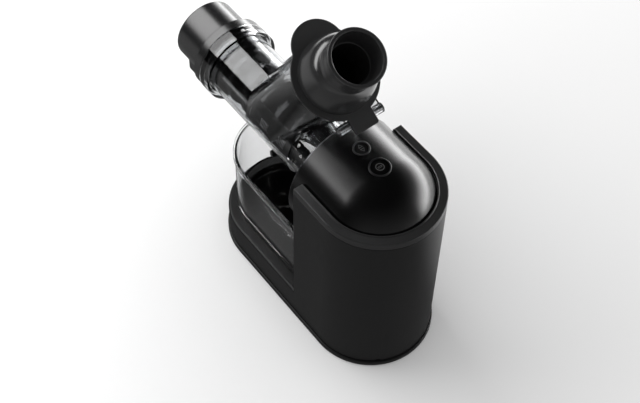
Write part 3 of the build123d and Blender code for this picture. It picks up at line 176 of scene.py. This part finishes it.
def clear(name, tint, rough, haze, ripple):
    """Clear plastic as a solid: it refracts, with faint moulding ripples and light wear."""
    material, g, shader = principled(name)
    shader.inputs["Base Color"].default_value = (*tint, 1)
    shader.inputs["IOR"].default_value = 1.49
    shader.inputs["Transmission Weight"].default_value = 1.0
    g.join(g.ramp(g.noise(90.0, 6.0, 0.7), 0.45, 0.8, rough, rough + haze), shader.inputs["Roughness"])
    g.bump(g.noise(45.0, 2.0), ripple, 0.0004, shader)
    return material


def metal(name, color, rough, stretch=(1.0, 1.0, 1.0), grain=0.08):
    """Metal; a stretch draws its noise out into brushed or turned lines."""
    material, g, shader = principled(name)
    shader.inputs["Base Color"].default_value = (*color, 1)
    shader.inputs["Metallic"].default_value = 1.0
    lines = g.noise(400.0, 3.0, 0.6, stretch)
    g.join(g.ramp(lines, 0.3, 0.7, rough * 0.7, rough * 1.3), shader.inputs["Roughness"])
    g.bump(lines, grain, 0.0001, shader)
    return material


def paint(node_names, material):
    """Give one material to CAD nodes."""
    for name in node_names:
        mesh = nodes[name].data
        mesh.materials.clear()
        mesh.materials.append(material)


def strainer_frame(name):
    """Dark strainer frame with windows of fine steel mesh, on a cylinder along Y."""
    window_start, window_step, window_share = 0.14, math.pi / 3, 0.3      # round the axis, radians
    row_start, row_step, row_share = -0.0375, 0.03, 0.42                  # along the axis, m
    wire_pitch, wire_share = 2.3, 0.42                                    # mm
    tie_pitch, tie_share, sleeve_radius = 2.6, 0.12, 33.3                 # mm
    material = plastic(name, (0.012, 0.012, 0.012), 0.3, 0.04, 0.1, 1800.0, 0.4)
    g = Graph(material, keep=True)
    shader = g.find("ShaderNodeBsdfPrincipled")
    split = g.add("ShaderNodeSeparateXYZ")
    g.join(g.add("ShaderNodeTexCoord").outputs["Object"], split.inputs[0])
    height = g.math("SUBTRACT", split.outputs["Z"], DRUM_AXIS * MM)
    turn = g.math("ARCTAN2", height, split.outputs["X"])
    along = split.outputs["Y"]
    in_window = g.math("FRACT", g.math("DIVIDE", g.math("SUBTRACT", turn, window_start), window_step))
    in_row = g.math("FRACT", g.math("DIVIDE", g.math("SUBTRACT", along, row_start), row_step))
    in_wire = g.math("FRACT", g.math("MULTIPLY", along, 1000 / wire_pitch))
    in_tie = g.math("FRACT", g.math("MULTIPLY", turn, sleeve_radius / tie_pitch))
    window = g.math("MULTIPLY", g.math("LESS_THAN", in_window, window_share),
                    g.math("LESS_THAN", in_row, row_share))
    wires = g.math("MAXIMUM", g.math("LESS_THAN", in_wire, wire_share),
                   g.math("LESS_THAN", in_tie, tie_share))
    mesh = g.math("MULTIPLY", window, wires)
    g.join(mesh, shader.inputs["Metallic"])
    g.join(g.mix(mesh, (0.009, 0.009, 0.009), (0.85, 0.85, 0.86)), shader.inputs["Base Color"])
    g.bump(mesh, 0.5, 0.0002, shader)
    return material


# ---------------------------------------------------------------- finishes
satin_black = plastic("satin_black", (0.0095, 0.0095, 0.0098), 0.42, 0.03, 0.2, 3200.0, 0.36,
                      marks=0.06, edge=0.8)
ledge_black = plastic("ledge_black", (0.022, 0.022, 0.0225), 0.34, 0.03, 0.1, 3200.0, 0.5, edge=0.8)
gloss_black = plastic("gloss_black", (0.0012, 0.0012, 0.0013), 0.26, 0.015, 0.03, 900.0, 0.5)
button_black = plastic("button_black", (0.001, 0.001, 0.001), 0.3, 0.02, 0.0, 900.0, 0.15)
bezel_black = plastic("bezel_black", (0.01, 0.01, 0.0105), 0.3, 0.02, 0.0, 900.0, 1.0)
lid_grey = plastic("lid_grey", (0.021, 0.021, 0.0215), 0.42, 0.03, 0.3, 2600.0, 0.45, marks=0.05, edge=0.6)
chute_grey = plastic("chute_grey", (0.021, 0.021, 0.0215), 0.22, 0.02, 0.12, 2600.0, 1.0,
                     marks=0.04, edge=0.7)
guard_black = plastic("guard_black", (0.0015, 0.0015, 0.0015), 0.8, 0.05, 0.3, 1500.0, 0.05)
cap_black = plastic("cap_black", (0.007, 0.007, 0.0073), 0.25, 0.02, 0.06, 2600.0, 0.8, edge=0.9)
auger_black = plastic("auger_black", (0.009, 0.009, 0.009), 0.24, 0.03, 0.05, 1800.0, 0.5)
socket_black = plastic("socket_black", (0.006, 0.006, 0.0065), 0.4, 0.04, 0.2, 2600.0, 0.3)
rubber = plastic("rubber", (0.015, 0.015, 0.015), 0.75, 0.05, 0.5, 1500.0, 0.3)
silicone = plastic("silicone", (0.04, 0.04, 0.042), 0.55, 0.05, 0.2, 1500.0, 0.4)
acetal = plastic("acetal", (0.62, 0.6, 0.55), 0.4, 0.05, 0.1, 1500.0)
housing_grey = plastic("housing_grey", (0.07, 0.07, 0.072), 0.6, 0.06, 0.5, 900.0, 0.4)
board_green = plastic("board_green", (0.01, 0.09, 0.03), 0.35, 0.05, 0.3, 700.0)
carbon = plastic("carbon", (0.02, 0.02, 0.02), 0.6, 0.05, 0.5, 2500.0)
print_grey = plastic("print_grey", (0.1, 0.1, 0.1), 0.5, 0.04, 0.1, 2600.0)
print_white = plastic("print_white", (0.75, 0.75, 0.75), 0.5, 0.04, 0.1, 2600.0)
clear_drum = clear("clear_drum", (0.72, 0.73, 0.74), 0.02, 0.03, 0.015)
clear_container = clear("clear_container", (0.88, 0.885, 0.89), 0.01, 0.02, 0.008)
ring_metal = metal("ring_metal", (0.09, 0.09, 0.095), 0.28)
steel = metal("steel", (0.55, 0.55, 0.56), 0.3, (1.0, 8.0, 1.0))
mesh_frame = strainer_frame("mesh_frame")
zinc = metal("zinc", (0.5, 0.51, 0.52), 0.45)
iron = metal("iron", (0.22, 0.22, 0.23), 0.5, (1.0, 30.0, 1.0), 0.3)
bronze = metal("bronze", (0.5, 0.34, 0.16), 0.45)

paint(["body_shell", "base_plate"], satin_black)
paint(["top_trim"], ledge_black)
paint(["dome_cover", "trim_seam"], gloss_black)
paint(["power_button", "reverse_button"], button_black)
paint(["power_bezel", "reverse_bezel"], bezel_black)
paint(["front_ring"], ring_metal)
paint(["drive_socket"], socket_black)
paint(["hopper_lid"], lid_grey)
paint(["feed_chute"], chute_grey)
paint(["splash_guard"], guard_black)
paint(["end_cap", "drip_stop"], cap_black)
paint(["auger"], auger_black)
paint(["rubber_feet", "cord_inlet", "shaft_seal", "cap_gasket"], rubber)
paint(["drum_seal", "lid_gasket"], silicone)
paint(["output_gear", "idler_gear", "cooling_fan", "auger_bush"], acetal)
paint(["gearbox_cover", "gearbox_case", "motor_end_cap", "motor_cradle"], housing_grey)
paint(["control_board"], board_green)
paint(["tact_switches", "board_parts", "motor_brushes"], carbon)
paint(["drum_body"], clear_drum)
paint(["juice_container"], clear_container)
paint(["hinge_pin", "layshaft", "motor_pinion", "motor_rotor"], steel)
paint(["strainer"], mesh_frame)
paint(["base_screws", "gearbox_screws", "motor_can"], zinc)
paint(["motor_stator"], iron)
paint(["output_bearings", "motor_bearings"], bronze)


# ---------------------------------------------------------------- marks and fine details
def piece(name, vertices, faces, material, body):
    """A mesh piece in base-frame millimetres that rides on a body."""
    mesh = bpy.data.meshes.new(name)
    mesh.from_pydata([(x * MM, (y + SHIFT) * MM, z * MM) for x, y, z in vertices], [], faces)
    mesh.update()
    made = bpy.data.objects.new(name, mesh)
    scene.collection.objects.link(made)
    mesh.materials.append(material)
    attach(made, body)


def ribbon(outline, half, closed=False):
    """Flat band of constant width along a 2D line: vertices and quads."""
    points = [Vector(p) for p in outline]
    count = len(points)
    left, right = [], []
    for index in range(count):
        before = points[index - 1] if closed or index > 0 else points[index]
        after = points[(index + 1) % count] if closed or index < count - 1 else points[index]
        along = (after - before).normalized()
        side = Vector((-along.y, along.x))
        if 0 < index < count - 1 or closed:
            bend = (points[index] - before).normalized().dot(along)
            side = side / max(0.5, bend)
        left.append(points[index] + half * side)
        right.append(points[index] - half * side)
    faces = []
    last = count if closed else count - 1
    for index in range(last):
        after = (index + 1) % count
        faces.append((index, after, count + after, count + index))
    return left + right, faces


def arc(centre, radius, start, end, steps):
    """Points of a circular arc, in degrees."""
    turn = [math.radians(start + (end - start) * i / steps) for i in range(steps + 1)]
    return [(centre[0] + radius * math.cos(t), centre[1] + radius * math.sin(t)) for t in turn]


def marks(name, shapes, place, material, body):
    """Printed marks: 2D shapes (vertices, faces) put on a surface by place(u, v, height).

    Each has a top, a bottom outline and walls along its open edges.
    """
    vertices, faces = [], []
    for points, quads in shapes:
        start = len(vertices)
        count = len(points)
        vertices += [place(p[0], p[1], height) for height in (PRINT, 0.0) for p in points]
        faces += [tuple(start + i for i in quad) for quad in quads]
        edges = {}                      # a dict keeps their order
        for quad in quads:
            for a, b in zip(quad, quad[1:] + quad[:1]):
                if (b, a) in edges:
                    del edges[(b, a)]
                else:
                    edges[(a, b)] = True
        faces += [(start + b, start + a, start + count + a, start + count + b) for a, b in edges]
    piece(name, vertices, faces, material, body)


def solid_shape(outline):
    """A filled polygon as one face."""
    points = [Vector(p) for p in outline]
    return points, [tuple(range(len(points)))]


def on_top(centre_x, centre_y, height):
    """Places (u, v) on a level surface; u is +X, v is +Y."""
    return lambda u, v, t: (centre_x + u, centre_y + v, height + t)


def on_drum(radius, station, angle):
    """Places (u, v) on a cylinder round the drum axis; u is +Y, v runs round towards +X."""
    def put(u, v, t):
        turn = math.radians(angle) + v / radius
        reach = radius + t
        return (reach * math.sin(turn), station + u, DRUM_AXIS + reach * math.cos(turn))
    return put


def padlock(size):
    """A plain padlock sign: body and shackle."""
    body = solid_shape([(-0.5 * size, -0.55 * size), (0.5 * size, -0.55 * size), (0.5 * size, 0.15 * size),
                        (-0.5 * size, 0.15 * size)])
    shackle = ribbon([(-0.3 * size, 0.12 * size)] + arc((0, 0.4 * size), 0.3 * size, 180, 0, 8)
                     + [(0.3 * size, 0.12 * size)], 0.09 * size)
    return [body, shackle]


def power_sign():
    """A ring with a short rounded bar in it."""
    ring = ribbon(arc((0, 0), 4.2, 0, 350, 35), 0.42, closed=True)
    bar = ribbon(arc((1.7, 0), 0.75, -90, 90, 8) + arc((-1.7, 0), 0.75, 90, 270, 8), 0.26, closed=True)
    return [ring, bar]


def reverse_sign():
    """Two triangles that point apart."""
    shapes = []
    for side in (-1, 1):
        tip, base, half = side * 4.6, side * 1.2, 2.3
        shapes.append(ribbon([(0, tip), (half, base), (-half, base)], 0.3, closed=True))
    return shapes


marks("power_sign", power_sign(), on_top(0, 76.6, 271.3), print_grey, "power_key")
marks("reverse_sign", reverse_sign(), on_top(0, 47.2, 271.3), print_grey, "reverse_key")
marks("collar_lock_sign", padlock(3.4), on_drum(45.7, -171.2, -12.6), print_white, "drum")
marks("neck_lock_sign", padlock(3.0), on_drum(36.05, -20.3, 49.0), print_white, "drum")
marks("neck_dots", [solid_shape(arc((2.0 * i, 0), 0.35, 0, 315, 7)) for i in range(4)],
      on_drum(36.05, -26.0, 58.0), print_white, "drum")
marks("neck_arrow", [ribbon([(-1.6, 1.6), (0, -1.2), (1.6, 1.6)], 0.2, closed=True)],
      on_drum(36.05, -11.5, 60.0), print_white, "drum")


def guard_disc():
    """Splash guard in the feed bore: soft petals between shallow grooves, slightly dished."""
    rings, spokes, petals = 12, 96, 8
    half_thickness, groove_depth, dish_depth = 0.5 * MM, 0.45 * MM, 1.2 * MM
    groove_share = 0.25             # of the sine between two grooves
    points = [vertex.co for vertex in nodes["splash_guard"].data.vertices]
    middle = sum((Vector(p) for p in points), Vector()) / len(points)
    up = Vector((0, 0.5101, 0.8601))        # axis of the chute
    across = Vector((1, 0, 0))
    beyond = up.cross(across)
    reach = max(((p - middle) - (p - middle).dot(up) * up).length for p in points)
    vertices, faces = [], []
    for level in (1, -1):
        for ring in range(rings + 1):
            radius = reach * ring / rings
            for spoke in range(spokes):
                turn = 2 * math.pi * spoke / spokes
                groove = max(0.0, 1 - abs(math.sin(petals / 2 * turn)) / groove_share) if ring else 1.0
                drop = groove_depth * groove * min(1.0, ring / 3) * (level > 0)
                dish = dish_depth * (1 - (ring / rings) ** 2)
                place = (middle + radius * (math.cos(turn) * across + math.sin(turn) * beyond)
                         + (level * half_thickness - drop - dish) * up)
                vertices.append(tuple(place))
    layer = (rings + 1) * spokes
    for start, flip in ((0, False), (layer, True)):
        for ring in range(rings):
            for spoke in range(spokes):
                after = (spoke + 1) % spokes
                a, b = start + ring * spokes, start + (ring + 1) * spokes
                quad = (a + spoke, b + spoke, b + after, a + after)
                faces.append(quad[::-1] if flip else quad)
    for spoke in range(spokes):
        after = (spoke + 1) % spokes
        a, b = rings * spokes, layer + rings * spokes
        faces.append((a + after, a + spoke, b + spoke, b + after))
    mesh = bpy.data.meshes.new("guard_petals")
    mesh.from_pydata(vertices, [], faces)
    bm = bmesh.new()
    bm.from_mesh(mesh)
    bmesh.ops.remove_doubles(bm, verts=bm.verts, dist=1e-6)
    bmesh.ops.recalc_face_normals(bm, faces=bm.faces)
    bm.to_mesh(mesh)
    bm.free()
    mesh.shade_smooth()
    made = bpy.data.objects.new("guard_petals", mesh)
    scene.collection.objects.link(made)
    mesh.materials.append(guard_black)
    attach(made, "lid")
    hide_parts("splash_guard")


guard_disc()


# ---------------------------------------------------------------- studio
def make_floor():
    """Pale floor that keeps the soft shadow, with painted light: it glows whiter far from the object, and
    its painted reflection glows bright at -X and fades towards the object and the +X side.
    """
    reach = 6.0
    corners = [(-reach, -reach, 0), (reach, -reach, 0), (reach, reach, 0), (-reach, reach, 0)]
    mesh = bpy.data.meshes.new("floor")
    mesh.from_pydata(corners, [], [(0, 1, 2, 3)])
    floor = bpy.data.objects.new("floor", mesh)
    scene.collection.objects.link(floor)
    material = bpy.data.materials.new("floor")
    g = Graph(material)
    out = g.add("ShaderNodeOutputMaterial")
    path = g.add("ShaderNodeLightPath")
    split = g.add("ShaderNodeSeparateXYZ")
    g.join(g.add("ShaderNodeTexCoord").outputs["Object"], split.inputs[0])
    x, y = split.outputs["X"], split.outputs["Y"]
    distance = g.math("SQRT", g.math("ADD", g.math("MULTIPLY", x, x), g.math("MULTIPLY", y, y)))
    # rays that leave a clear wall count as seen on the far side, and as mirrored on the +X side
    beside = g.ramp(x, 0.05, 0.09, 0.0, 1.0)
    through = path.outputs["Is Transmission Ray"]
    bounced = g.math("MULTIPLY", path.outputs["Is Glossy Ray"], g.math("SUBTRACT", 1.0, through))
    seen = g.math("MAXIMUM", path.outputs["Is Camera Ray"],
                  g.math("MULTIPLY", through, g.math("SUBTRACT", 1.0, beside)))
    mirrored = g.math("MAXIMUM", bounced, g.math("MULTIPLY", through, beside))
    # painted light: the floor glows whiter far away where it is seen, a painted shade near the object;
    # where it is mirrored, a painted reflection glows bright at -X and dim beside the object
    far_painted_light = g.ramp(distance, 0.15, 0.9, 0.05, 0.3)
    side_painted_reflection = g.ramp(x, -0.36, -0.1, 1.6, 0.0)
    front_painted_reflection = g.ramp(y, -0.5, -0.15, 0.35, 0.0)
    near_painted_reflection = g.ramp(y, -0.14, -0.05, 0.01, 0.12)
    painted_reflection_glow = g.math("ADD", g.math("MAXIMUM", side_painted_reflection, front_painted_reflection), near_painted_reflection)
    floor_painted_glow = g.add("ShaderNodeEmission")
    floor_painted_glow.inputs["Color"].default_value = (1, 1, 1, 1)
    g.join(g.math("ADD", g.math("MULTIPLY", seen, far_painted_light), g.math("MULTIPLY", mirrored, painted_reflection_glow)),
           floor_painted_glow.inputs["Strength"])
    matte = g.add("ShaderNodeBsdfDiffuse")
    # painted shade in reflections: the floor's matte colour turns nearly black where it is mirrored
    g.join(g.mix(mirrored, (0.86, 0.86, 0.86), (0.03, 0.03, 0.03)), matte.inputs["Color"])
    both = g.add("ShaderNodeAddShader")
    g.join(floor_painted_glow.outputs[0], both.inputs[0])
    g.join(matte.outputs[0], both.inputs[1])
    g.join(both.outputs[0], out.inputs["Surface"])
    mesh.materials.append(material)


def softbox(name, centre, width, depth, radiance):
    """Level rectangular soft light that faces down."""
    data = bpy.data.lights.new(name, "AREA")
    data.shape = "RECTANGLE"
    data.size = width
    data.size_y = depth
    data.energy = radiance * math.pi * width * depth
    lamp = bpy.data.objects.new(name, data)
    lamp.location = centre
    scene.collection.objects.link(lamp)


def make_world():
    """Even light for matte surfaces; gloss and clear parts see a darker room, bright low down at -X."""
    camera_light, matte_light, room_light = 1.0, 0.6, 0.015
    world = bpy.data.worlds.new("studio")
    scene.world = world
    g = Graph(world)
    out = g.add("ShaderNodeOutputWorld")
    back = g.add("ShaderNodeBackground")
    g.join(back.outputs[0], out.inputs["Surface"])
    back.inputs["Color"].default_value = (1, 1, 1, 1)
    split = g.add("ShaderNodeSeparateXYZ")
    g.join(g.add("ShaderNodeTexCoord").outputs["Generated"], split.inputs[0])
    x, y, z = split.outputs["X"], split.outputs["Y"], split.outputs["Z"]
    low = g.math("ADD", g.ramp(z, 0.06, 0.42, 11.0, 0.0), g.ramp(z, 0.3, 0.75, 0.3, 0.0))
    side = g.ramp(x, -0.6, -0.82, 0.0, 1.0)
    rear = g.math("MULTIPLY", g.ramp(z, 0.0, 0.8, 0.35, 0.0), g.ramp(y, -0.1, 0.5, 0.03, 1.0))
    room = g.math("ADD", g.math("ADD", g.math("MULTIPLY", low, side), rear), room_light)
    path = g.add("ShaderNodeLightPath")
    bent = g.math("MAXIMUM", path.outputs["Is Glossy Ray"], path.outputs["Is Transmission Ray"])
    direct = g.ramp(path.outputs["Is Camera Ray"], 0.0, 1.0, matte_light, camera_light)
    even = g.math("MULTIPLY", g.math("SUBTRACT", 1.0, bent), direct)
    g.join(g.math("ADD", even, g.math("MULTIPLY", bent, room)), back.inputs["Strength"])


make_camera()
make_floor()
make_world()
softbox("key", (0.7, -1.02, 1.22), 2.0, 0.85, 5.0)
